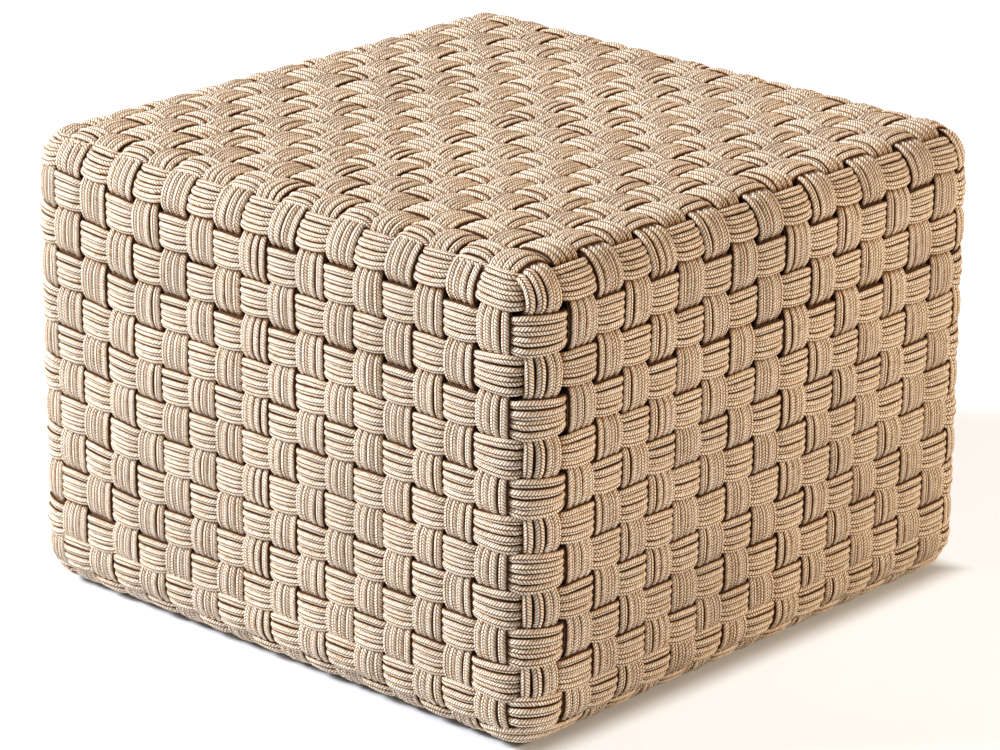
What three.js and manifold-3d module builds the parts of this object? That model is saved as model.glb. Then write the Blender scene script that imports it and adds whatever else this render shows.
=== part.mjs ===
// A square outdoor footstool: flat rope bands woven over a frame of round tube.
// Each band is four cords side by side. Bands run up one side, over the top and down
// the far side, in both directions, and closed bands go round the sides.
// They pass over and under each other in turn, as plain weave does.
// Millimetres, +Z up, the floor at z = 0 and the middle of the footstool at x = y = 0.
import * as THREE from 'three';
import { mergeVertices } from 'three/addons/utils/BufferGeometryUtils.js';
import Module from 'manifold-3d';

// Driving dimensions
const width = 508; // across the outermost cords, the same front to back
const height = 360; // floor to the outermost cords of the top
const bandWidth = 25; // four cords side by side
const leastBandGap = 2.2; // between two bands that lie side by side
const firstBandInset = 26.8; // outer face to the middle of the first band of a side
const firstRingDrop = 22.2; // top to the middle of the first ring band
const lastRingLift = 1; // last whole ring band above the middle of the bottom tube
const rise = 6; // middle of the weave to the outer face of a band that passes over
const cornerCrossingReach = 11.3; // middle of a band to its outer edge, beside a corner
const cornerReach = 8.5; // the same at the corner, where three bands draw together
const clearance = 0.3; // between two pieces that touch
const tubeDiameter = 25; // tube of the two square hoops
const postDiameter = 22; // tube of the four corner posts
const tubeWall = 2;
const bottomTubeHeight = 34; // floor to the middle of the bottom tube
const ventDiameter = 5; // hole that lets water out of a hoop
const gussetThickness = 4;
const gussetLeg = 52; // along each tube from the inner corner of the hoop
const gussetLift = 4; // middle of the tube to the middle of the gusset
const footInset = 61; // outer face to the middle of a foot
const footDiameter = 32;
const footPadHeight = 5;
const footChamfer = 1.5;
const footNeckDiameter = 16;
const footPinDiameter = 8;
const footPinLength = 8; // above the top of the gusset

// Counts
const tubeSides = 12;
const footSides = 12;

// Worked out from the sizes above
const keel = rise - clearance; // depth of a band at its middle
const halfOutside = width / 2;
const tubeRadius = tubeDiameter / 2;
const bendRadius = tubeRadius + clearance + keel + rise; // middle of the weave round a tube
const coreHalf = halfOutside - rise - bendRadius; // middle of the footstool to a tube
const topTubeHeight = height - rise - bendRadius;
const levelSide = { low: -coreHalf, high: coreHalf };
const uprightSide = { low: bottomTubeHeight, high: topTubeHeight };
const bandSpan = width - 2 * firstBandInset;
const bandSteps = Math.floor(bandSpan / (bandWidth + leastBandGap));
const bandCount = bandSteps + 1;
const bandPitch = bandSpan / bandSteps;
const topRingHeight = height - firstRingDrop;
const lastRingHeight = bottomTubeHeight + lastRingLift;
const ringSpan = topRingHeight - lastRingHeight;
const ringSteps = Math.floor(ringSpan / (bandWidth + leastBandGap));
const ringPitch = ringSpan / ringSteps;
const ringCount = ringSteps + 2; // the last ring lies under the bottom edge

// Materials
const ropeMaterial = new THREE.MeshStandardMaterial({
  color: '#cdb391',
  roughness: 0.9,
  metalness: 0,
});
const tubeMaterial = new THREE.MeshStandardMaterial({
  color: '#7a4c33',
  roughness: 0.55,
  metalness: 0.2,
});
const footMaterial = new THREE.MeshStandardMaterial({
  color: '#2b2622',
  roughness: 0.7,
  metalness: 0,
});

const wasm = await Module();
wasm.setup();

const footstool = new THREE.Group();

function addPiece(name, geometry, material) {
  geometry.computeVertexNormals();
  const mesh = new THREE.Mesh(geometry, material);
  mesh.name = name;
  footstool.add(mesh);
}

function twoDigits(number) {
  return String(number).padStart(2, '0');
}

// A tube of any section through a row of rings of points, closed on itself or capped.
function loft(rings, closed) {
  const sides = rings[0].length;
  const points = rings.flat();
  const faces = [];
  const spans = closed ? rings.length : rings.length - 1;
  for (let ring = 0; ring < spans; ring++) {
    const here = ring * sides;
    const next = ((ring + 1) % rings.length) * sides;
    for (let side = 0; side < sides; side++) {
      const other = (side + 1) % sides;
      faces.push(here + side, here + other, next + other);
      faces.push(here + side, next + other, next + side);
    }
  }
  if (!closed) {
    const last = (rings.length - 1) * sides;
    for (let side = 1; side < sides - 1; side++) {
      faces.push(0, side + 1, side);
      faces.push(last, last + side, last + side + 1);
    }
  }
  return new THREE.BufferGeometry().setFromPoints(points).setIndex(faces);
}

function toSolid(geometry) {
  const bare = geometry.clone();
  bare.deleteAttribute('normal');
  bare.deleteAttribute('uv');
  const merged = mergeVertices(bare);
  const vertProperties = new Float32Array(merged.attributes.position.array);
  const triVerts = new Uint32Array(merged.index.array);
  return new wasm.Manifold(new wasm.Mesh({ numProp: 3, vertProperties, triVerts }));
}

function toGeometry(solid) {
  const mesh = solid.getMesh();
  const position = new THREE.BufferAttribute(new Float32Array(mesh.vertProperties), 3);
  const geometry = new THREE.BufferGeometry().setAttribute('position', position);
  geometry.setIndex([...mesh.triVerts]);
  return geometry.toNonIndexed();
}

// The rope bands

// Where a place lies on a rounded side, measured along it: flat from low to high, and
// turned by an angle round the tube past either end.
function acrossPlace(length, { low, high }) {
  const flat = Math.min(Math.max(length, low), high);
  return { flat, angle: (length - flat) / bendRadius };
}

// The section of a band follows the weave's middle surface outside and is drawn in to a
// keel inside, so that bands which pass over and under each other never meet.
// It is flat where the side is flat. Where an edge lies past the tube the section is bent,
// and the edge reach says how far that edge stands from the middle.
function sectionRows(middle, side, edgeReach) {
  const half = bandWidth / 2;
  const isPastLow = middle - half < side.low;
  const isPastHigh = middle + half > side.high;
  const lower = acrossPlace(middle - (isPastLow ? edgeReach : half), side);
  const upper = acrossPlace(middle + (isPastHigh ? edgeReach : half), side);
  const centre = acrossPlace(middle, side);
  const outside = isPastLow || isPastHigh ? [lower, centre, upper] : [lower, upper];
  return [...outside, { ...centre, depth: keel }];
}

// A band through a row of stations. Each holds the tube's middle point that the band turns
// round, the band's outward direction there, how far it stands out of the weave's middle
// surface, and its edge reach.
function bandThrough(stations, middle, side, axis, closed) {
  const sections = stations.map(({ core, facing, lift, edgeReach = bandWidth / 2 }) => {
    const rows = sectionRows(middle, side, edgeReach);
    return rows.map(({ flat, angle, depth = 0 }) => {
      const reach = bendRadius + lift - depth;
      return core
        .clone()
        .addScaledVector(axis, flat + reach * Math.sin(angle))
        .addScaledVector(facing, reach * Math.cos(angle));
    });
  });
  return loft(sections, closed);
}

function liftOf(isOver) {
  return isOver ? rise : -rise;
}

function bandPlace(index) {
  return firstBandInset + index * bandPitch - halfOutside;
}

// How far a place lies past the tube's middle, where the weave starts to turn.
function pastCore(place) {
  return Math.sign(place) * Math.max(Math.abs(place) - coreHalf, 0);
}

// The height of a ring's middle, measured along the side and round its edges.
function ringLength(ring) {
  if (ring === ringCount - 1) return lastRingHeight - ringPitch;
  const place = topRingHeight - ring * ringPitch;
  const past = Math.max(place - topTubeHeight, 0);
  return place - past + bendRadius * Math.asin(past / bendRadius);
}

// The places that a band passes on one side, from the top edge down. Where it meets a
// ring, the place has its order along the band. The first and last band of a side end
// above the lowest ring, because they would meet there. The others end under the tube.
function sideSteps(isNear, isEndBand) {
  const steps = [];
  for (let ring = 0; ring < ringCount - 1; ring++) {
    const order = isNear ? ringCount - 1 - ring : ringCount + bandCount + ring;
    const isFirst = ring === 0;
    const edgeReach = isFirst ? cornerCrossingReach : undefined;
    steps.push({ length: ringLength(ring), order, edgeReach });
    if (isFirst) steps.push({ length: (ringLength(0) + ringLength(1)) / 2, lift: 0 });
  }
  const lowest = ringLength(ringCount - 1);
  steps.push({ length: lowest + ringPitch / 2, lift: 0, edgeReach: cornerReach });
  if (!isEndBand) {
    const order = isNear ? 0 : 2 * ringCount + bandCount - 1;
    steps.push({ length: lowest, order });
    steps.push({ length: lowest - ringPitch / 2, lift: 0 });
    steps.push({ length: lowest - ringPitch, lift: -rise });
  }
  return isNear ? steps.reverse() : steps;
}

// A band in an upright plane: it starts under the near bottom edge, climbs the near side,
// crosses the top and goes down the far side. The near side faces -Y. The bands across
// are made the same way and turned by a quarter turn.
function archBand(place, startsOver) {
  const past = pastCore(place);
  const tilt = Math.asin(past / bendRadius);
  const isEndBand = past !== 0;
  const stations = [];

  // The angle goes from 0, level towards the far side, to PI, level towards the near one.
  function addStation(coreY, coreZ, angle, { order, lift, edgeReach }) {
    const core = new THREE.Vector3(0, coreY, coreZ);
    const facing = new THREE.Vector3(0, Math.cos(angle), Math.sin(angle));
    const crossingLift = liftOf((order % 2 === 0) === startsOver);
    stations.push({ core, facing, lift: lift ?? crossingLift, edgeReach });
  }

  function upAngle(turn) {
    return isEndBand ? Math.asin(Math.sin(turn) / Math.cos(tilt)) : turn;
  }

  function topAngle(along) {
    return Math.acos(pastCore(along) / bendRadius / Math.cos(tilt));
  }

  function addSide(isNear) {
    for (const step of sideSteps(isNear, isEndBand)) {
      const { flat, angle } = acrossPlace(step.length, uprightSide);
      const up = upAngle(angle);
      const coreY = isNear ? -coreHalf : coreHalf;
      addStation(coreY, flat, isNear ? Math.PI - up : up, step);
    }
  }

  // Half way round the top edge, between the first ring and the first band of the top.
  function addTopEdge(isNear) {
    const firstRing = acrossPlace(ringLength(0), uprightSide);
    const middle = (upAngle(firstRing.angle) + topAngle(halfOutside - firstBandInset)) / 2;
    const coreY = isNear ? -coreHalf : coreHalf;
    const step = { lift: 0, edgeReach: cornerReach };
    addStation(coreY, topTubeHeight, isNear ? Math.PI - middle : middle, step);
  }

  addSide(true);
  addTopEdge(true);
  for (let index = 0; index < bandCount; index++) {
    const along = bandPlace(index);
    const flat = along - pastCore(along);
    const edgeReach = flat === along ? undefined : cornerCrossingReach;
    addStation(flat, topTubeHeight, topAngle(along), { order: ringCount + index, edgeReach });
  }
  addTopEdge(false);
  addSide(false);

  const middle = place - past + bendRadius * tilt;
  return bandThrough(stations, middle, levelSide, new THREE.Vector3(1, 0, 0), false);
}

// A closed band round the four sides. It meets the bands of each side in turn and turns
// each corner half way between the last band of one side and the first of the next.
function ringBand(ring) {
  const length = ringLength(ring);
  const cornerRadius = bendRadius * Math.cos(acrossPlace(length, uprightSide).angle);
  const isLowest = ring === ringCount - 1;
  const up = new THREE.Vector3(0, 0, 1);
  const stations = [];
  let isOver = ring % 2 === 0;

  // The turn is the angle in plan from the side's own outward direction.
  function addStation(side, along, turn, lift, edgeReach) {
    const core = new THREE.Vector3(-along, -coreHalf, 0);
    const facing = new THREE.Vector3(-Math.sin(turn), -Math.cos(turn), 0);
    const quarter = (-side * Math.PI) / 2;
    core.applyAxisAngle(up, quarter);
    facing.applyAxisAngle(up, quarter);
    stations.push({ core, facing, lift, edgeReach });
  }

  for (let side = 0; side < 4; side++) {
    for (let index = 0; index < bandCount; index++) {
      const along = bandPlace(index);
      const past = pastCore(along);
      const isEndBand = past !== 0;
      const lift = isLowest && isEndBand ? 0 : liftOf(isOver);
      const edgeReach = isEndBand ? cornerCrossingReach : undefined;
      addStation(side, along - past, Math.asin(past / cornerRadius), lift, edgeReach);
      isOver = !isOver;
    }
    addStation(side, coreHalf, Math.PI / 4, 0, cornerReach);
  }
  return bandThrough(stations, length, uprightSide, up, true);
}

function addArchBands() {
  for (let index = 0; index < bandCount; index++) {
    const number = twoDigits(index + 1);
    const startsOver = (index + ringCount) % 2 === 0;
    const lengthwise = archBand(-bandPlace(index), startsOver);
    addPiece('rope_band_front_back_' + number, lengthwise, ropeMaterial);
    const crosswise = archBand(bandPlace(index), !startsOver).rotateZ(Math.PI / 2);
    addPiece('rope_band_side_side_' + number, crosswise, ropeMaterial);
  }
}

function addRingBands() {
  for (let ring = 0; ring < ringCount; ring++) {
    addPiece('rope_band_round_' + twoDigits(ring + 1), ringBand(ring), ropeMaterial);
  }
}

// The frame

// A square hoop of round rod, mitred at its corners.
function hoopRod(radius, middleHeight) {
  const rings = [];
  for (let corner = 0; corner < 4; corner++) {
    const turn = Math.PI / 4 + (corner * Math.PI) / 2;
    const outward = new THREE.Vector3(Math.cos(turn), Math.sin(turn), 0);
    const ring = [];
    for (let side = tubeSides; side > 0; side--) {
      const angle = (side + 0.5) * ((2 * Math.PI) / tubeSides);
      const reach = coreHalf + radius * Math.cos(angle);
      const point = outward.clone().multiplyScalar(reach * Math.SQRT2);
      point.z = middleHeight + radius * Math.sin(angle);
      ring.push(point);
    }
    rings.push(ring);
  }
  return loft(rings, true);
}

function uprightRod(radius, low, high, sides) {
  const rod = new THREE.CylinderGeometry(radius, radius, high - low, sides);
  rod.rotateX(Math.PI / 2);
  rod.translate(0, 0, (low + high) / 2);
  return rod;
}

function hoopSolid(middleHeight) {
  const outside = toSolid(hoopRod(tubeRadius, middleHeight));
  const bore = toSolid(hoopRod(tubeRadius - tubeWall, middleHeight));
  const drill = new THREE.CylinderGeometry(
    ventDiameter / 2, ventDiameter / 2, tubeRadius, tubeSides);
  drill.translate(0, coreHalf - tubeRadius, middleHeight);
  return outside.subtract(bore).subtract(toSolid(drill));
}

const gussetMiddle = bottomTubeHeight + gussetLift;
const footPlace = halfOutside - footInset;

// A three-cornered plate in each corner of the bottom hoop, with a hole for the foot.
function gussetSolid(corner) {
  const buried = coreHalf - tubeRadius + tubeWall;
  const inner = coreHalf - tubeRadius - gussetLeg;
  const outline = new THREE.Shape([
    new THREE.Vector2(buried, buried),
    new THREE.Vector2(inner, buried),
    new THREE.Vector2(inner, buried - tubeWall - clearance),
    new THREE.Vector2(buried - tubeWall - clearance, inner),
    new THREE.Vector2(buried, inner),
  ]);
  const plate = new THREE.ExtrudeGeometry(outline, {
    depth: gussetThickness,
    bevelEnabled: false,
  });
  plate.translate(0, 0, gussetMiddle - gussetThickness / 2);
  const hole = uprightRod(
    footPinDiameter / 2 + clearance,
    gussetMiddle - gussetThickness,
    gussetMiddle + gussetThickness,
    footSides);
  hole.translate(footPlace, footPlace, 0);
  const solid = toSolid(plate).subtract(toSolid(hole));
  return toSolid(toGeometry(solid).rotateZ((corner * Math.PI) / 2));
}

function addHoops() {
  addPiece('top_hoop', toGeometry(hoopSolid(topTubeHeight)), tubeMaterial);
  const bore = toSolid(hoopRod(tubeRadius - tubeWall, bottomTubeHeight));
  let bottom = hoopSolid(bottomTubeHeight);
  for (let corner = 0; corner < 4; corner++) {
    bottom = bottom.add(gussetSolid(corner).subtract(bore));
  }
  addPiece('bottom_hoop', toGeometry(bottom), tubeMaterial);
}

// A post's ends are cut round to fit against the hoops.
function addPosts() {
  const names = ['back_right', 'back_left', 'front_left', 'front_right'];
  const radius = postDiameter / 2;
  const outside = uprightRod(radius, bottomTubeHeight, topTubeHeight, tubeSides);
  const bore = uprightRod(radius - tubeWall, 0, height, tubeSides);
  outside.translate(coreHalf, coreHalf, 0);
  bore.translate(coreHalf, coreHalf, 0);
  const tube = toSolid(outside).subtract(toSolid(bore));
  const lower = toSolid(hoopRod(tubeRadius + clearance, bottomTubeHeight));
  const upper = toSolid(hoopRod(tubeRadius + clearance, topTubeHeight));
  const post = tube.subtract(lower).subtract(upper);
  names.forEach((name, corner) => {
    const geometry = toGeometry(post).rotateZ((corner * Math.PI) / 2);
    addPiece('corner_post_' + name, geometry, tubeMaterial);
  });
}

// A moulded foot: a round pad, a neck up to the gusset and a pin through it.
function addFeet() {
  const names = ['back_right', 'back_left', 'front_left', 'front_right'];
  const padRadius = footDiameter / 2;
  const neckRadius = footNeckDiameter / 2;
  const pinRadius = footPinDiameter / 2;
  const neckTop = gussetMiddle - gussetThickness / 2 - clearance;
  const pinTop = gussetMiddle + gussetThickness / 2 + footPinLength;
  const profile = [
    new THREE.Vector2(0, 0),
    new THREE.Vector2(padRadius - footChamfer, 0),
    new THREE.Vector2(padRadius, footChamfer),
    new THREE.Vector2(padRadius, footPadHeight),
    new THREE.Vector2(neckRadius, footPadHeight + padRadius - neckRadius),
    new THREE.Vector2(neckRadius, neckTop),
    new THREE.Vector2(pinRadius, neckTop),
    new THREE.Vector2(pinRadius, pinTop),
    new THREE.Vector2(0, pinTop),
  ];
  names.forEach((name, corner) => {
    const foot = new THREE.LatheGeometry(profile, footSides);
    foot.rotateX(Math.PI / 2);
    foot.translate(footPlace, footPlace, 0);
    foot.rotateZ((corner * Math.PI) / 2);
    addPiece('foot_' + name, foot, footMaterial);
  });
}

addArchBands();
addRingBands();
addHoops();
addPosts();
addFeet();

export default footstool;
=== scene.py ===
# A square outdoor footstool: flat bands of braided rope in a plain weave over a frame of
# round tube. Metres, +Z up, the floor at z = 0 and the middle of the footstool at x = y = 0.
import math

import bmesh
import bpy
import numpy as np
from bpy.props import FloatProperty, FloatVectorProperty, IntProperty, PointerProperty
from mathutils import Matrix, Vector


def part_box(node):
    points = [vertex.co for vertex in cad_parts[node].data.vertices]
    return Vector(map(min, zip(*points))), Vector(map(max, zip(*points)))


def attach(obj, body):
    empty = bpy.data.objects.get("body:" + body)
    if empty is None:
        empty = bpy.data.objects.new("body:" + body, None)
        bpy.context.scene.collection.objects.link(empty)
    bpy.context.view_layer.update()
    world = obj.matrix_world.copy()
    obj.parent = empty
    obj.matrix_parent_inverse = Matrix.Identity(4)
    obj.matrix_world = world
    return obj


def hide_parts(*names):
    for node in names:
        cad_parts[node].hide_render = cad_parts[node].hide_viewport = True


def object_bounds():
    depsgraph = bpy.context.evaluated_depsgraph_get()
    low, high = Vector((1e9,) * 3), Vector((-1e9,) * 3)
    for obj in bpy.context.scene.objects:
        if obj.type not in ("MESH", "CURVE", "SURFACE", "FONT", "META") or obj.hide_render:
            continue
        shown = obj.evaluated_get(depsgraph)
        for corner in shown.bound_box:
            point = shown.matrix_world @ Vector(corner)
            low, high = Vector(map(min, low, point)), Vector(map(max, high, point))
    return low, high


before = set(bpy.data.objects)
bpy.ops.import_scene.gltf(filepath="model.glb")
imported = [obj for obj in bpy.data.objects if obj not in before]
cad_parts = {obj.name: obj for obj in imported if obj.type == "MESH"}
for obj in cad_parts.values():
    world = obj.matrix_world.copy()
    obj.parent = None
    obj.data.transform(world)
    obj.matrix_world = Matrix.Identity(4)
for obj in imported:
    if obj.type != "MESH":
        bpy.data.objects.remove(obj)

bl_info = {
    "name": "Woven Rope Footstool",
    "version": (1, 0, 0),
    "blender": (4, 5, 0),
    "location": "3D View > Sidebar > Footstool",
    "description": "Builds the rope weave, the tube frame and the feet of an outdoor footstool",
    "category": "Add Mesh",
}

CAD_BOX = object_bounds()
MM = 0.001


def box_low(node, axis):
    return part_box(node)[0][axis]


def box_high(node, axis):
    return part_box(node)[1][axis]


def box_middle(node, axis):
    return (box_low(node, axis) + box_high(node, axis)) / 2


def box_half(node, axis):
    return (box_high(node, axis) - box_low(node, axis)) / 2


# The layout of the weave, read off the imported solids
BAND_COUNT = sum(name.startswith("rope_band_front_back_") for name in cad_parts)
RING_COUNT = sum(name.startswith("rope_band_round_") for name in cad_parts)
FIRST_PLACE = box_middle("rope_band_front_back_02", 0)
LAST_PLACE = box_middle(f"rope_band_front_back_{BAND_COUNT - 1:02d}", 0)
BAND_PITCH = (FIRST_PLACE - LAST_PLACE) / (BAND_COUNT - 3)
FIRST_RING_HEIGHT = box_middle("rope_band_round_02", 2)
LAST_RING_HEIGHT = box_middle(f"rope_band_round_{RING_COUNT - 2:02d}", 2)
RING_PITCH = (FIRST_RING_HEIGHT - LAST_RING_HEIGHT) / (RING_COUNT - 4)
HALF_WIDTH = CAD_BOX[1][0]
TOP_HEIGHT = CAD_BOX[1][2]
# The weave's rounding ends a little below the solid of the last ring
UNDER_DEPTH = 3 * MM
WEAVE_BOTTOM = box_low(f"rope_band_round_{RING_COUNT:02d}", 2) - UNDER_DEPTH

# How far the first and last bands keep inside their even places
END_INSET = 0.2 * MM
# How far the last ring lies round the rounding under the sides
UNDER_ANGLE = math.radians(63)
# How far the ends of a band run round the bottom tube
TUCK_ANGLES = math.radians(128), math.radians(152)
CORDS = 4
CORD_SIDES = 8
ROWS_PER_CROSSING = 8
# Power on the sine and cosine of a cord's section: below 1 it is fuller than an ellipse
FLATNESS = 0.9

# The tubes of the frame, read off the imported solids
FACET = math.cos(math.pi / 12)
TUBE_RADIUS = box_half("top_hoop", 2) / FACET
TUBE_PLACE = box_high("top_hoop", 0) - TUBE_RADIUS * FACET
TOP_TUBE_HEIGHT = box_middle("top_hoop", 2)
BOTTOM_TUBE_HEIGHT = box_middle("bottom_hoop", 2)
POST_RADIUS = box_half("corner_post_back_right", 0)
CORNERS = ("back_right", "back_left", "front_left", "front_right")
TUBE_WALL = 2 * MM
GUSSET_LOW = BOTTOM_TUBE_HEIGHT + 2 * MM
GUSSET_HIGH = BOTTOM_TUBE_HEIGHT + 6 * MM
GUSSET_OUTER = TUBE_PLACE - TUBE_RADIUS + TUBE_WALL
GUSSET_INNER = TUBE_PLACE - TUBE_RADIUS - 52 * MM
VENT_RADIUS = 2.5 * MM
FOOT_PLACE = box_middle("foot_back_right", 0)
FOOT_HOLE_RADIUS = 4.3 * MM
TUBE_SIDES = 40
CREASE = math.radians(32)
SHORTEST_EDGE = 0.002 * MM

# Radius and height of a foot's outline, from the middle of the sole to the tip of the pin
FOOT_OUTLINE = np.array([
    (0, 0.7), (4.6, 0.7), (5, 0), (8.6, 0), (9, 0.7), (9.8, 0.7), (10.2, 0), (11.8, 0), (12.2, 0.7),
    (13, 0.7), (13.4, 0), (14.4, 0), (15.2, 0.25), (15.75, 0.8), (16, 1.6), (16, 4.2), (15.85, 4.8),
    (15.4, 5.4), (9.3, 11.5), (8.4, 12.6), (8, 14), (8, 33.6), (7.8, 34.6), (7.2, 35.5), (4.1, 35.6),
    (4, 40.3), (4.9, 40.5), (5, 41.2), (4.1, 42.6), (4.1, 43.2), (4.7, 43.5), (4.7, 44.1), (3.9, 45.6),
    (3.5, 47), (2.6, 47.7), (1.4, 48), (0, 48),
]) * MM


# The sizes and colours that a user would change


def length(name, default, description):
    return FloatProperty(name=name, description=description, default=default, unit="LENGTH")


def factor(name, default, description):
    return FloatProperty(name=name, description=description, default=default)


def colour(name, default, description):
    return FloatVectorProperty(name=name, description=description, default=default, subtype="COLOR", size=3)


class RopeSettings(bpy.types.PropertyGroup):
    cord_width: length("Cord width", 6.8 * MM, "Width of one cord of a band")
    cord_thickness: length("Cord thickness", 6.2 * MM, "Thickness of one cord")
    cord_spacing: length("Cord spacing", 6.7 * MM, "Middle to middle of two cords")
    wave_height: length("Wave height", 4.3 * MM, "How far a band rises and sinks in the weave")
    wave_squareness: factor("Wave squareness", 1.75, "0 is a sine wave, 2 has flat floats")
    crown: length("Crown", 0.9 * MM, "How far a float's outer cords lie below its middle")
    pinch: factor("Pinch", 0.11, "Share of its width that a band loses between two crossings")
    drift: length("Drift", 12 * MM, "How far the bands were pulled away from the front right corner")
    sag: length("Sag", 10.5 * MM, "How far the middle rings hang below their even places")
    corner_climb: length("Corner climb", 9 * MM, "How far the rings rise at the front left corner")
    edge_radius: length("Edge radius", 34 * MM, "Outer rounding of the edges")
    slack: length("Slack", 0.28 * MM, "How unevenly the cords lie")
    pick_length: length("Pick length", 2.1 * MM, "One stitch of the braid, along a cord")
    seed: IntProperty(name="Seed", description="Picks another uneven lie", default=7)
    # The groove and shade colours are painted shade and the crest colour a painted highlight, picked by the
    # rope's lightness; the strand colour is the rope's own.
    strand_colour: colour("Strand colour", (0.86, 0.705, 0.525), "Lit strands of the braid")
    painted_shade_colour: colour("Shade colour", (0.45, 0.225, 0.08), "Painted shade where a strand turns into a groove")
    crest_highlight_colour: colour("Crest colour", (0.98, 0.92, 0.81), "Painted highlight on the crest of each strand")
    groove_shade_colour: colour("Groove colour", (0.05, 0.016, 0.005), "Between the strands")


class FrameSettings(bpy.types.PropertyGroup):
    weld_radius: length("Weld radius", 2.2 * MM, "Half the width of a weld bead")
    coat_colour: colour("Coat colour", (0.19, 0.075, 0.035), "Powder coat of the tubes")
    foot_colour: colour("Foot colour", (0.022, 0.018, 0.015), "Moulded feet")


class StageSettings(bpy.types.PropertyGroup):
    floor_colour: colour("Floor colour", (0.76, 0.8, 0.85), "Pale studio floor")
    key_power: FloatProperty(
        name="Key light", description="Power of the main lamp", default=256, unit="POWER"
    )
    world_level: factor("World level", 0.13, "Even light from all round")


# Mesh tools

# What the rope's meshes carry: braid coordinates, a tone for each cord, and where it dips under, which the
# rope's colour darkens as painted shade
BRAID_MAP = "braid"
TONE = "cord_tone"
DIP = "cord_dip"


def place_object(name, data):
    """A new object in the scene that holds the data."""
    thing = bpy.data.objects.new(name, data)
    bpy.context.scene.collection.objects.link(thing)
    return thing


def mesh_object(name, points, faces, material, uv=None, values=None, smooth=True):
    """A mesh object from one array of points and arrays of faces with 3 or 4 corners."""
    mesh = bpy.data.meshes.new(name)
    corners = np.concatenate([face.ravel() for face in faces]).astype(np.int32)
    sizes = np.concatenate([np.full(len(face), face.shape[1]) for face in faces])
    starts = np.concatenate([[0], np.cumsum(sizes)[:-1]]).astype(np.int32)
    mesh.vertices.add(len(points))
    mesh.vertices.foreach_set("co", np.asarray(points, np.float32).ravel())
    mesh.loops.add(len(corners))
    mesh.loops.foreach_set("vertex_index", corners)
    mesh.polygons.add(len(sizes))
    mesh.polygons.foreach_set("loop_start", starts)
    mesh.update(calc_edges=True)
    if uv is not None:
        layer = mesh.uv_layers.new(name=BRAID_MAP)
        layer.uv.foreach_set("vector", np.asarray(uv, np.float32).ravel())
    for label, value in (values or {}).items():
        attribute = mesh.attributes.new(label, "FLOAT", "POINT")
        attribute.data.foreach_set("value", np.asarray(value, np.float32))
    mesh.polygons.foreach_set("use_smooth", np.full(len(sizes), smooth))
    mesh.materials.append(material)
    mesh.validate()
    return place_object(name, mesh)


def unit(rows):
    """The same directions at length 1."""
    return rows / np.linalg.norm(rows, axis=-1, keepdims=True)


# The rounding of a cord's melted end, its depth as a share of the cord, and that of its tip
END_ANGLES = np.radians([80, 60, 38, 16])
END_DEPTH = 0.8
TIP_DEPTH = 0.02


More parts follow.
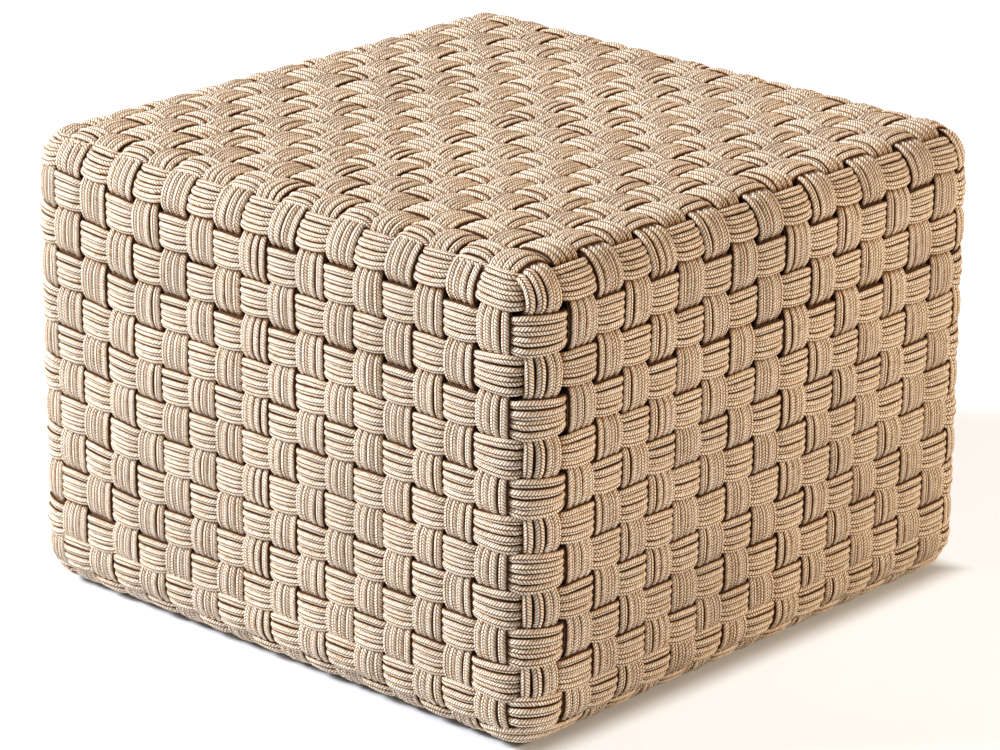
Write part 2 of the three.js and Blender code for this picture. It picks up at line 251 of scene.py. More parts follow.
class TubeStock:
    """Collects swept cords of one piece: points, faces, braid coordinates and tones."""

    def __init__(self, sides):
        self.sides = sides
        self.points = []
        self.quads = []
        self.triangles = []
        self.quad_uv = []
        self.triangle_uv = []
        self.tones = []
        self.dips = []
        self.count = 0

    def add(self, middles, outward, half_width, half_height, closed, dip, turn=0.0, tone=0.5):
        """Sweeps one cord along its middle line. The dip is 0 on a float and 1 under another band."""
        if closed:
            share = np.ones(len(middles))
            along = unit(np.roll(middles, -1, 0) - np.roll(middles, 1, 0))
        else:
            middles, outward, share = with_round_ends(middles, outward, half_height)
            dip = np.pad(dip, len(END_ANGLES), mode="edge")
            half_width = np.pad(half_width, len(END_ANGLES), mode="edge")
            along = unit(np.gradient(middles, axis=0))
        up = unit(outward - along * np.sum(outward * along, 1)[:, None])
        side = np.cross(along, up)
        angles = np.arange(self.sides) * 2 * np.pi / self.sides
        cos, sin = np.cos(angles), np.sin(angles)
        cos = np.sign(cos) * np.abs(cos) ** FLATNESS
        sin = np.sign(sin) * np.abs(sin) ** FLATNESS
        ring = (
            cos[None, :, None] * (side * half_width[:, None])[:, None]
            + sin[None, :, None] * up[:, None] * half_height
        )
        points = middles[:, None] + ring * share[:, None, None]
        steps = np.linalg.norm(np.diff(middles, axis=0), axis=1)
        run = np.concatenate([[0], np.cumsum(steps)])
        rows = len(middles)
        if closed:
            run = np.append(run, run[-1] + np.linalg.norm(middles[0] - middles[-1]))
            nearest = np.arange(rows + 1) % rows
        else:
            nearest = np.arange(rows)
        here, after = nearest[:-1, None], nearest[1:, None]
        column = np.arange(self.sides)[None]
        other = (column + 1) % self.sides
        at = self.count
        quads = np.stack(
            [
                after * self.sides + column,
                after * self.sides + other,
                here * self.sides + other,
                here * self.sides + column,
            ],
            -1,
        )
        self.quads.append(quads.reshape(-1, 4) + at)
        v0, v1 = column / self.sides + turn, (column + 1) / self.sides + turn
        u0, u1 = run[:-1, None], run[1:, None]
        corners = ((u1, v0), (u1, v1), (u0, v1), (u0, v0))
        uv = np.stack([np.stack(np.broadcast_arrays(u, v), -1) for u, v in corners], 2)
        self.quad_uv.append(uv.reshape(-1, 2))
        self.points.append(points.reshape(-1, 3))
        self.tones.append(np.full(rows * self.sides, tone))
        self.dips.append(np.repeat(dip, self.sides))
        self.count += rows * self.sides
        if not closed:
            tip = half_height * TIP_DEPTH
            ends = np.stack([middles[0] - along[0] * tip, middles[-1] + along[-1] * tip])
            self.points.append(ends)
            self.tones.append(np.full(2, tone))
            self.dips.append(np.ones(2))
            first, last = self.count, self.count + 1
            self.count += 2
            column, other = column[0], other[0]
            bottom = np.stack([at + column, at + other, np.full(self.sides, first)], -1)
            top_at = at + (rows - 1) * self.sides
            top = np.stack([top_at + other, top_at + column, np.full(self.sides, last)], -1)
            self.triangles.append(np.concatenate([bottom, top]))
            flat_uv = np.zeros((self.sides * 2, 3, 2))
            flat_uv[:, :, 1] = turn
            flat_uv[self.sides :, :, 0] = run[-1]
            self.triangle_uv.append(flat_uv.reshape(-1, 2))

    def build(self, name, material):
        faces = [np.concatenate(self.quads)]
        uv = [np.concatenate(self.quad_uv)]
        if self.triangles:
            faces.append(np.concatenate(self.triangles))
            uv.append(np.concatenate(self.triangle_uv))
        points = np.concatenate(self.points)
        values = {TONE: np.concatenate(self.tones), DIP: np.concatenate(self.dips)}
        return mesh_object(name, points, faces, material, np.concatenate(uv), values)


def with_round_ends(middles, outward, radius):
    """Extra rows at both ends of a cord, where it is drawn in to a melted, rounded end."""
    angles, count = END_ANGLES, len(END_ANGLES)
    lead = unit((middles[0] - middles[1])[None])[0]
    tail = unit((middles[-1] - middles[-2])[None])[0]
    before = middles[0] + lead * radius * np.sin(angles)[:, None] * END_DEPTH
    after = middles[-1] + tail * radius * np.sin(angles[::-1])[:, None] * END_DEPTH
    rows = np.concatenate([before, middles, after])
    ups = np.concatenate([np.repeat(outward[:1], count, 0), outward, np.repeat(outward[-1:], count, 0)])
    share = np.concatenate([np.cos(angles), np.ones(len(middles)), np.cos(angles[::-1])])
    return rows, ups, share


def loft(rings, is_closed):
    """Points and four-sided faces of a skin over rows of points; each row runs round."""
    rows, count = rings.shape[:2]
    row = np.arange(rows if is_closed else rows - 1)[:, None]
    after = (row + 1) % rows
    column = np.arange(count)[None]
    other = (column + 1) % count
    quads = [row * count + column, row * count + other, after * count + other, after * count + column]
    return rings.reshape(-1, 3), np.stack(np.broadcast_arrays(*quads), -1).reshape(-1, 4)


def cut(piece, cutter):
    """Takes the cutter's volume out of a piece and removes the cutter."""
    change = piece.modifiers.new("cut", "BOOLEAN")
    change.operation = "DIFFERENCE"
    change.solver = "EXACT"
    change.object = cutter
    evaluated = piece.evaluated_get(bpy.context.evaluated_depsgraph_get())
    mesh = bpy.data.meshes.new_from_object(evaluated)
    piece.modifiers.clear()
    piece.data = mesh
    bpy.data.objects.remove(cutter)


def mesh_from(shape, name, material):
    """An object that holds a bmesh, which is freed."""
    mesh = bpy.data.meshes.new(name)
    shape.to_mesh(mesh)
    shape.free()
    mesh.materials.append(material)
    return place_object(name, mesh)


def join(name, parts, material):
    """One piece from several parts, smooth but for its creases."""
    whole = bmesh.new()
    for part in parts:
        whole.from_mesh(part.data)
        bpy.data.objects.remove(part)
    bmesh.ops.dissolve_degenerate(whole, dist=SHORTEST_EDGE, edges=whole.edges)
    bmesh.ops.recalc_face_normals(whole, faces=whole.faces)
    for face in whole.faces:
        face.smooth = True
        face.material_index = 0
    for edge in whole.edges:
        edge.smooth = edge.calc_face_angle(0.0) < CREASE
    return mesh_from(whole, name, material)


# The weave

# How far the front to back bands were pulled to the left, as shares of the drift: at the left
# edge, and how much that changes between two places, which are shares of the flat top's half width
LEFT_PULL = 0.35
LEFT_PULL_STEPS = ((0.3, -1.02, -0.85), (0.35, -0.5, 0.3), (-0.1, 0.55, 1.0))
# How far the side to side bands were pulled to the back: the front one on the top and on the
# +X side, the others on the top, and on that side the least and how much more behind a span
FRONT_BAND_PULL = 0.5, -0.16
BACK_PULL_TOP = 0.75
BACK_PULL_SIDE, BACK_PULL_SPAN = (0.3, 0.6), (-0.3, 0.4)
# Where along X the pull on the top sets in, and where the one on the side takes over
TOP_SPAN = -1.0, -0.2
SIDE_SPAN = 0.35, 1.0
# Rings between which the sag sets in and fades, how much of it fades, and how it goes round
SAG_SETS_IN, SAG_FADES, SAG_FADED = (0.7, 4), (9.5, 12), 0.8
SAG_EVEN, SAG_SWING, SAG_TURN = 0.8, 0.2, math.radians(40)
# The front left corner, as a turn each way round, how far from it the rings climb, and the
# rings between which that fades
CLIMB_TURNS = math.radians(-135), math.radians(225)
CLIMB_REACH = math.radians(20)
CLIMB_FADES = 8, 11
# The first ring's share of the climb, and the share of the sag by which it lies higher
TOP_RING_CLIMB = 0.6
TOP_RING_RISE = 0.34
# How unevenly cords lie: waves along a band and share of the slack, for one cord's height, for
# the band's sideways lie and for one cord's sideways lie
CORD_WAVES, CORD_SHARE = (7, 13, 22), 0.5
BAND_WAVES, BAND_SHARE = (4, 9, 15), 2.2
SIDE_WAVES, SIDE_SHARE = (9, 19, 31), 0.6
# How much a float swells or shrinks in height and in width
SWELL_HEIGHT, SWELL_WIDTH = 0.05, 0.012
# How much closer a band's cords lie under another band, and how far the pinch narrows a cord
UNDER_PINCH = 0.03
CORD_PINCH = 0.95
# Round the edges a band stands higher between its crossings, which closes the weave there
EDGE_REACH = 30 * MM
EDGE_BIAS = 0.45
# The first and last bands are drawn over the edge at the corners, and lie nearer to it
CORNER_TURN = math.radians(58)
CORNER_REACH = 34 * MM
CORNER_DRAW = 0.7 * MM, 2.2 * MM
END_SHIFT = 1.6 * MM
END_SPREAD = 0.08
# Rings stand higher and spread where they pass a corner
RING_BIAS = 0.14, 0.5
RING_CORNER_SPREAD = 0.16
RING_CORNER_WIDTH = 0.14
TOP_RING_DIP = 0.5 * MM, 1.1 * MM
UNDER_RING_RISE = 3.6 * MM
UNDER_RING_SPACING = 0.9
# How far round an edge a crossing may lie, as the sine of its turn
ARCH_RISE = 0.97
RING_RISE = 0.68
# Where the ends of a band leave the weave's rounding for the bottom tube, and how close they lie
TUCK_TURNS = math.radians(70), math.radians(115)
TUCK_GAP = 0.4 * MM
# How far a cord may be twisted round its own length, as a share of a turn
TWIST = 0.05


def smooth(value, low, high):
    """0 below low, 1 above high and an even bend between them."""
    share = np.clip((np.asarray(value, float) - low) / (high - low), 0, 1)
    return share * share * (3 - 2 * share)


class Weave:
    """Sizes of the weave's rounded box, its bands' places and how they lie in real life.

    A place across a face is an arc length: it runs on round the rounded edge."""

    def __init__(self, rope):
        self.rope = rope
        self.lift = rope.wave_height
        self.bend = rope.edge_radius - rope.wave_height - rope.cord_thickness / 2
        self.core = HALF_WIDTH - rope.edge_radius
        self.high = TOP_HEIGHT - rope.edge_radius
        self.low = WEAVE_BOTTOM + rope.edge_radius
        half = BAND_PITCH * (BAND_COUNT - 1) / 2 - END_INSET
        self.places = np.linspace(-half, half, BAND_COUNT)
        top_ring = FIRST_RING_HEIGHT + RING_PITCH - 3 * END_INSET
        heights = top_ring - np.arange(RING_COUNT - 1) * RING_PITCH
        arcs = [self.arc_height(height) for height in heights]
        self.rings = np.array([*arcs, self.low - self.bend * UNDER_ANGLE])
        self.offsets = (np.arange(CORDS) - (CORDS - 1) / 2) * rope.cord_spacing

    def arc_place(self, place):
        past = max(abs(place) - self.core, 0)
        return math.copysign(abs(place) - past + self.bend * math.asin(past / self.bend), place)

    def arc_height(self, height):
        past = max(height - self.high, 0) + min(height - self.low, 0)
        return height - past + self.bend * math.asin(past / self.bend)

    def step(self, place, span):
        """Smooth step between two places, given as shares of the flat top's half width."""
        return smooth(place, span[0] * self.core, span[1] * self.core)

    def lengthwise(self, index):
        """Arc place, towards +X, of a front to back band. They were pulled to the left by hand."""
        place = self.places[BAND_COUNT - 1 - index]
        pulled = LEFT_PULL
        for share, *span in LEFT_PULL_STEPS:
            pulled += share * self.step(place, span)
        return self.arc_place(place) - self.rope.drift * pulled

    def crosswise(self, index, along):
        """Arc place, towards +Y, of a side to side band at a place along +X.

        On the top they were pulled to the back by hand, and on the +X side less so."""
        place = self.places[index]
        if index == 0:
            on_top, on_side = FRONT_BAND_PULL
        else:
            least, more = BACK_PULL_SIDE
            on_top, on_side = BACK_PULL_TOP, least + more * self.step(place, BACK_PULL_SPAN)
        share = self.step(along, SIDE_SPAN)
        pulled = on_top * self.step(along, TOP_SPAN) * (1 - share) + on_side * share
        return self.arc_place(place) + self.rope.drift * pulled

    def ring(self, ring, x, y):
        """Arc height of a ring above a plan place.

        The rings between top and bottom sag, and all of them climb at the front left corner."""
        if ring == RING_COUNT - 1:
            return np.full(np.shape(x), self.rings[ring])
        turn = np.arctan2(y, x)
        slack = smooth(ring, *SAG_SETS_IN) * (1 - SAG_FADED * smooth(ring, *SAG_FADES))
        sag = self.rope.sag * slack * (SAG_EVEN + SAG_SWING * np.cos(2 * turn - SAG_TURN))
        climb = sum(near(turn, corner, CLIMB_REACH) for corner in CLIMB_TURNS)
        climb *= self.rope.corner_climb * (1 - smooth(ring, *CLIMB_FADES))
        if ring == 0:
            climb = TOP_RING_CLIMB * climb + TOP_RING_RISE * self.rope.sag
        return self.rings[ring] - sag + climb

    def roll(self, arc, low, high, height):
        """From an arc place to the flat place and the tilt of what lies there."""
        flat = np.clip(arc, low, high)
        return flat, (arc - flat) / (self.bend + height)


def wave(runs, lifts, at, squareness):
    """Height of a band along its run: it passes each crossing at that crossing's lift."""
    index = np.clip(np.searchsorted(runs, at, side="right") - 1, 0, len(runs) - 2)
    share = np.clip((at - runs[index]) / (runs[index + 1] - runs[index]), 0, 1)
    bend = np.tanh(squareness * np.cos(np.pi * share)) / math.tanh(squareness)
    return (1 + bend) / 2 * lifts[index] + (1 - bend) / 2 * lifts[index + 1]


def spread(runs, count):
    """Rows between crossings, the same number in each."""
    shares = np.arange(count) / count
    rows = runs[:-1, None] + (runs[1:] - runs[:-1])[:, None] * shares
    return np.append(rows.ravel(), runs[-1])


def uneven(rng, rows, length, reach, waves):
    """A slow wander that closes on itself: a few sines with random phases."""
    total = np.zeros(len(rows))
    for number in waves:
        phase = rng.uniform(0, 2 * math.pi)
        total += np.sin(rows * 2 * math.pi * number / length + phase) * rng.uniform(0.5, 1)
    return total * reach / math.sqrt(len(waves))


def near(rows, middle, reach):
    """1 at a place along the run, falling to 0 at the reach."""
    share = np.clip(np.abs(rows - middle) / reach, 0, 1)
    return (1 + np.cos(np.pi * share)) / 2


def lie(weave, rng, shared, rows, runs, lifts, length, offset, random_floats, bias):
    """Height, sideways shift and width of one cord along its run, with the uneven lie of handwork."""
    rope = weave.rope
    over = wave(runs, lifts, rows, rope.wave_squareness)
    over += bias * (1 - over**2)
    outer = offset / weave.offsets[-1]
    swell = np.interp(rows, runs, random_floats)
    height = over * weave.lift * (1 + SWELL_HEIGHT * swell)
    height -= outer**2 * np.clip(over, 0, 1) * rope.crown
    height += uneven(rng, rows, length, rope.slack * CORD_SHARE, CORD_WAVES)
    sideways = uneven(shared, rows, length, rope.slack * BAND_SHARE, BAND_WAVES)
    sideways += uneven(rng, rows, length, rope.slack * SIDE_SHARE, SIDE_WAVES)
    flank = 1 - over**2
    sideways -= offset * (rope.pinch * flank + UNDER_PINCH * np.clip(-over, 0, 1) - SWELL_WIDTH * swell)
    width = 1 - CORD_PINCH * rope.pinch * flank
    return height, sideways, width, over


def arch_runs(weave, crosswise, arc, starts_over, is_end):
    """Where a cord at an arc place crosses the other bands, as runs from the near side's foot."""
    flat, tilt = weave.roll(arc, -weave.core, weave.core, 0)
    radius = weave.bend * math.cos(tilt)
    side = weave.high - weave.low
    quarter = radius * math.pi / 2
    half = side + quarter + weave.core
    over_place = flat + weave.bend * math.sin(tilt)

    def side_run(ring, is_far):
        reach = weave.core + radius
        x, y = over_place, reach if is_far else -reach
        if crosswise:
            x, y = -y, x
        arc_height = float(weave.ring(ring, x, y))
        flat_height, turn = weave.roll(arc_height, weave.low, weave.high, 0)
        rise = np.clip(math.sin(turn) * weave.bend / radius, -ARCH_RISE, 1)
        if turn > 0:
            return side + radius * math.asin(rise)
        return flat_height - weave.low + radius * math.asin(rise)

    runs = [side_run(ring, False) for ring in range(RING_COUNT - 1, -1, -1)]
    for other in range(BAND_COUNT):
        if crosswise:
            across = -weave.lengthwise(other)
        else:
            across = weave.crosswise(other, over_place)
        flat_across, turn = weave.roll(across, -weave.core, weave.core, 0)
        rise = np.clip(math.sin(turn) * weave.bend / radius, -1, 1)
        if turn < 0:
            runs.append(side + quarter + radius * math.asin(rise))
        else:
            runs.append(side + quarter + weave.core + flat_across + radius * math.asin(rise))
    runs += [2 * half - side_run(ring, True) for ring in range(RING_COUNT)]
    lifts = [1 if (order % 2 == 0) == starts_over else -1 for order in range(len(runs))]
    if is_end:
        lifts[0] = lifts[-1] = -1
    else:
        under, last = (-radius * angle for angle in TUCK_ANGLES)
        runs = [last, under, *runs, 2 * half - under, 2 * half - last]
        lifts = [-1, -1, *lifts, -1, -1]
    return np.array(runs), np.array(lifts, float), radius, half


def arch_place(weave, arc, near_radius, half, rows, height):
    """Places and outward directions along an arch whose cord lies at an arc place, row by row."""
    side = weave.high - weave.low
    quarter = near_radius * math.pi / 2
    mirrored = rows > half
    near_run = np.where(mirrored, 2 * half - rows, rows)
    low_turn = np.minimum(near_run, 0) / near_radius
    turn = low_turn + np.clip((near_run - side) / near_radius, 0, math.pi / 2)
    along = np.maximum(near_run - side - quarter, 0)
    flat, tilt = weave.roll(arc, -weave.core, weave.core, height)
    radius = (weave.bend + height) * np.cos(tilt)
    sign = np.where(mirrored, -1, 1)
    y = -(weave.core + radius * np.cos(turn)) + along
    z = weave.low + np.clip(near_run, 0, side) + radius * np.sin(turn)
    x = flat + (weave.bend + height) * np.sin(tilt)
    out = np.stack([np.sin(tilt), -np.cos(turn) * sign * np.cos(tilt), np.sin(turn) * np.cos(tilt)], -1)
    return np.stack([x, y * sign, z], -1), out, low_turn


def tuck_under(middles, low_turn, thickness):
    """Draws the ends of a band in from the weave's rounding to lie against the bottom tube."""
    share = smooth(-low_turn, *TUCK_TURNS)[:, None]
    sign = np.sign(middles[:, 1])
    reach = TUBE_RADIUS + thickness / 2 + TUCK_GAP
    hug_y = sign * (TUBE_PLACE + reach * np.cos(low_turn))
    hug_z = BOTTOM_TUBE_HEIGHT + reach * np.sin(low_turn)
    hug = np.stack([middles[:, 0], hug_y, hug_z], -1)
    return middles * (1 - share) + hug * share


def add_cord(stock, rope, rng, middles, outward, width, over, closed):
    """Sweeps one cord of a band, turned a little at random and with a tone of its own."""
    half_width, half_height = rope.cord_width / 2 * width, rope.cord_thickness / 2
    turn = rng.uniform(-TWIST, TWIST)
    stock.add(middles, outward, half_width, half_height, closed, (1 - over) / 2, turn, rng.uniform())


def make_arch(weave, name, index, material, seed, crosswise=False):
    """One band of four cords, from under one side, over the top, to under the other."""
    rope = weave.rope
    rng = np.random.default_rng(seed)
    is_end = index in (0, BAND_COUNT - 1)
    starts_over = ((index + RING_COUNT) % 2 == 0) != crosswise
    stock = TubeStock(CORD_SIDES)
    band_phase = int(rng.integers(1 << 30))
    edge = (1 if index == 0 else -1) * (-1 if crosswise else 1)
    for offset in weave.offsets:
        place = weave.crosswise(index, 0) if crosswise else weave.lengthwise(index)
        runs, lifts, radius, half = arch_runs(weave, crosswise, place + offset, starts_over, is_end)
        rows = spread(runs, ROWS_PER_CROSSING)
        shared = np.random.default_rng(band_phase)
        floats = shared.uniform(-1, 1, len(runs))
        edge_run = weave.high - weave.low + radius * math.pi / 4
        bias = EDGE_BIAS * (near(rows, edge_run, EDGE_REACH) + near(rows, 2 * half - edge_run, EDGE_REACH))
        height, sideways, width, over = lie(
            weave, rng, shared, rows, runs, lifts, 2 * half, offset, floats, bias
        )
        if crosswise:
            place = weave.crosswise(index, np.clip(half - rows, -weave.core, weave.core))
        arc = place + offset + sideways
        if is_end:
            corner = weave.high - weave.low + weave.bend * CORNER_TURN
            drawn = near(rows, corner, CORNER_REACH) + near(rows, 2 * half - corner, CORNER_REACH)
            outer = (offset * edge / weave.offsets[-1] + 1) / 2
            least, more = CORNER_DRAW
            arc -= edge * drawn * (least + more * outer)
            arc += edge * END_SHIFT + END_SPREAD * offset
            width = width * (1 + END_SPREAD)
        middles, outward, low_turn = arch_place(weave, arc, radius, half, rows, height)
        middles = tuck_under(middles, low_turn, rope.cord_thickness)
        if crosswise:
            middles, outward = (rows[:, [1, 0, 2]] * (-1, 1, 1) for rows in (middles, outward))
        add_cord(stock, rope, rng, middles, outward, width, over, False)
    return stock.build(name, material)


def ring_runs(weave, ring, radius):
    """Where a ring crosses the bands that climb the sides, as runs round the four sides."""
    quarter = radius * math.pi / 2
    side_length = 2 * weave.core + quarter
    runs, lifts = [], []
    is_over = ring % 2 == 0
    last = BAND_COUNT - 1
    for side in range(4):
        for step in range(BAND_COUNT):
            place = (
                -weave.lengthwise(step),
                weave.crosswise(step, -weave.core),
                weave.lengthwise(last - step),
                -weave.crosswise(last - step, weave.core),
            )[side]
            flat, turn = weave.roll(place, -weave.core, weave.core, 0)
            rise = np.clip(math.sin(turn) * weave.bend / radius, -RING_RISE, RING_RISE)
            runs.append(side * side_length + weave.core + flat + radius * math.asin(rise))
            is_end = step in (0, last)
            lifts.append(1 if is_over or (ring == RING_COUNT - 1 and is_end) else -1)
            is_over = not is_over
    runs.append(runs[0] + 4 * side_length)
    lifts.append(lifts[0])
    return np.array(runs), np.array(lifts, float), side_length


def make_ring(weave, name, ring, material, seed):
    """One closed band of four cords round the four sides."""
    rope = weave.rope
    rng = np.random.default_rng(seed)
    is_under = ring == RING_COUNT - 1
    stock = TubeStock(CORD_SIDES)
    band_phase = int(rng.integers(1 << 30))
    for offset in weave.offsets:
        outer = offset / weave.offsets[-1]
        spacing = UNDER_RING_SPACING if is_under else 1.0
        nominal = weave.rings[ring] + offset * spacing
        tilt = weave.roll(nominal, weave.low, weave.high, 0)[1]
        near_radius = weave.bend * math.cos(tilt)
        quarter = near_radius * math.pi / 2
        runs, lifts, side_length = ring_runs(weave, ring, near_radius)
        total = 4 * side_length
        rows = spread(runs, ROWS_PER_CROSSING)[:-1]
        shared = np.random.default_rng(band_phase)
        floats = shared.uniform(-1, 1, len(runs))
        floats[-1] = floats[0]
        local = np.mod(rows + quarter / 2, side_length) - quarter / 2
        corner = near(np.abs(local - weave.core), weave.core + quarter / 2, CORNER_REACH)
        bias = RING_BIAS[0] + RING_BIAS[1] * corner
        height, upward, width, over = lie(
            weave, rng, shared, rows, runs, lifts, total, offset, floats, bias
        )
        side = np.floor((rows + quarter / 2) / side_length)
        turn = np.clip(local / near_radius, -math.pi / 4, 0)
        turn += np.clip((local - 2 * weave.core) / near_radius, 0, math.pi / 4)
        along = np.clip(local, 0, 2 * weave.core) - weave.core
        cos, sin = np.cos(-side * math.pi / 2), np.sin(-side * math.pi / 2)

        def turned(local_x, local_y):
            return local_x * cos - local_y * sin, local_x * sin + local_y * cos

        upward += corner * offset * RING_CORNER_SPREAD
        width += corner * RING_CORNER_WIDTH
        if ring == 0:
            upward -= corner * (TOP_RING_DIP[0] + TOP_RING_DIP[1] * (1 + outer))
        if is_under:
            upward += corner * UNDER_RING_RISE
        plan = turned(-(along + near_radius * np.sin(turn)), -(weave.core + near_radius * np.cos(turn)))
        arc = weave.ring(ring, *plan) + offset * spacing + upward
        flat, tilt = weave.roll(arc, weave.low, weave.high, height)
        radius = (weave.bend + height) * np.cos(tilt)
        x, y = turned(-(along + radius * np.sin(turn)), -(weave.core + radius * np.cos(turn)))
        out_x, out_y = turned(-np.sin(turn) * np.cos(tilt), -np.cos(turn) * np.cos(tilt))
        middles = np.stack([x, y, flat + (weave.bend + height) * np.sin(tilt)], -1)
        outward = np.stack([out_x, out_y, np.sin(tilt)], -1)
        add_cord(stock, rope, rng, middles, outward, width, over, True)
    return stock.build(name, material)


# The frame and the feet

# Weld beads: length of a ripple, step between two rows, and how a bead is lifted and swells
RIPPLE = 1.7 * MM
BEAD_STEP = 0.5 * MM
RIPPLE_LIFT = 0.25 * MM
BEAD_WIDTH = 0.9, 0.14
BEAD_HEIGHT = 0.55
GUSSET_BEAD_WIDTH = 0.9
GUSSET_BEAD_INSET = 2 * MM
MITRE_POINTS = 90
PLATE_BEVEL = 0.6 * MM
BEVEL_ANGLE = math.radians(40)
# Gap between a post's cut end and the hoop that it is welded to, and how its bead lies there
POST_GAP = 0.3 * MM
POST_BEAD_LIFT = 0.4 * MM
POST_BEAD_LEAN = 0.8
CORNER_TURNS = np.radians([45, 135, 225, 315])
FOOT_SIDES = 48


def circle_angles(sides):
    """Even turns round a circle."""
    return np.arange(sides) * 2 * math.pi / sides


def turned_solid(name, outline, place, sides, material):
    """A solid of round section on an upright axis; its outline runs from tip to tip."""
    angles = circle_angles(sides)
    circle = np.stack([np.cos(angles), np.sin(angles)], -1)
    rings = [np.column_stack([circle * radius + place, np.full(sides, z)]) for radius, z in outline[1:-1]]
    points, quads = loft(np.array(rings), False)
    tips = np.array([(*place, outline[0][1]), (*place, outline[-1][1])])
    column = np.arange(sides)
    other = (column + 1) % sides
    first, last = len(points), len(points) - sides
    caps = np.concatenate([
        np.stack([np.full(sides, first), other, column], -1),
        np.stack([np.full(sides, first + 1), last + column, last + other], -1),
    ])
    return mesh_object(name, np.concatenate([points, tips]), [quads, caps], material)


def round_rod(name, radius, low, high, place, material):
    """A closed upright rod."""
    outline = ((0, low), (radius, low), (radius, high), (0, high))
    return turned_solid(name, outline, place, TUBE_SIDES, material)


def corner_loop(turn, radius, height, angles):
    """Points round a hoop's mitre, in the diagonal plane of a corner."""
    reach = (TUBE_PLACE + radius * np.cos(angles)) * math.sqrt(2)
    return np.stack([reach * math.cos(turn), reach * math.sin(turn), height + radius * np.sin(angles)], -1)


def hoop_rod(name, radius, height, material):
    """A closed square hoop of round rod, mitred at its corners."""
    angles = circle_angles(TUBE_SIDES)
    rings = [corner_loop(turn, radius, height, angles) for turn in CORNER_TURNS]
    points, quads = loft(np.array(rings), True)
    return mesh_object(name, points, [quads], material)


def bead(name, path, outward, width, rng, material, is_closed):
    """A weld bead along a path: a flat rounded rope of overlapping ripples."""
    steps = np.linalg.norm(np.diff(path, axis=0), axis=1)
    run = np.concatenate([[0], np.cumsum(steps)])
    ripple = 0.5 + 0.5 * np.sin(run * 2 * math.pi / RIPPLE + rng.uniform(0, 6))
    outward = unit(outward)
    stock = TubeStock(CORD_SIDES)
    lifted = path + outward * (RIPPLE_LIFT * ripple)[:, None]
    half_width = width * (BEAD_WIDTH[0] + BEAD_WIDTH[1] * ripple)
    stock.add(lifted, outward, half_width, width * BEAD_HEIGHT, is_closed, np.zeros(len(path)))
    return stock.build(name, material)


def even_path(points, step, is_closed):
    """The same path with points at even steps."""
    if is_closed:
        points = np.concatenate([points, points[:1]])
    run = np.concatenate([[0], np.cumsum(np.linalg.norm(np.diff(points, axis=0), axis=1))])
    count = max(int(run[-1] / step), 2)
    at = np.linspace(0, run[-1], count, endpoint=not is_closed)
    return np.stack([np.interp(at, run, points[:, axis]) for axis in range(3)], -1)


def mitre_beads(height, width, rng, material):
    """A weld bead round the mitre at each corner of a hoop."""
    beads = []
    angles = np.linspace(0, 2 * math.pi, MITRE_POINTS, endpoint=False)
    for corner, turn in enumerate(CORNER_TURNS):
        path = even_path(corner_loop(turn, TUBE_RADIUS, height, angles), BEAD_STEP, True)
        middle = np.array([math.cos(turn), math.sin(turn), 0]) * TUBE_PLACE * math.sqrt(2)
        middle[2] = height
        beads.append(bead(f"mitre_bead_{corner}", path, path - middle, width, rng, material, True))
    return beads


def make_hoop(name, height, with_gussets, material, width, seed):
    """A hoop with a vent hole, weld beads at its mitres and, at the bottom, the foot gussets."""
    rng = np.random.default_rng(seed)
    hoop = hoop_rod(name + "_rod", TUBE_RADIUS, height, material)
    cut(hoop, hoop_rod("bore", TUBE_RADIUS - TUBE_WALL, height, material))
    drill = round_rod("drill", VENT_RADIUS, 0, TUBE_RADIUS, np.zeros(2), material)
    drill.data.transform(Matrix.Rotation(-math.pi / 2, 4, "X"))
    drill.data.transform(Matrix.Translation((0, TUBE_PLACE - 1.5 * TUBE_RADIUS, height)))
    cut(hoop, drill)
    parts = [hoop, *mitre_beads(height, width, rng, material)]
    if with_gussets:
        for corner in range(4):
            parts += make_gusset(corner, material, width, rng)
    return join(name, parts, material)


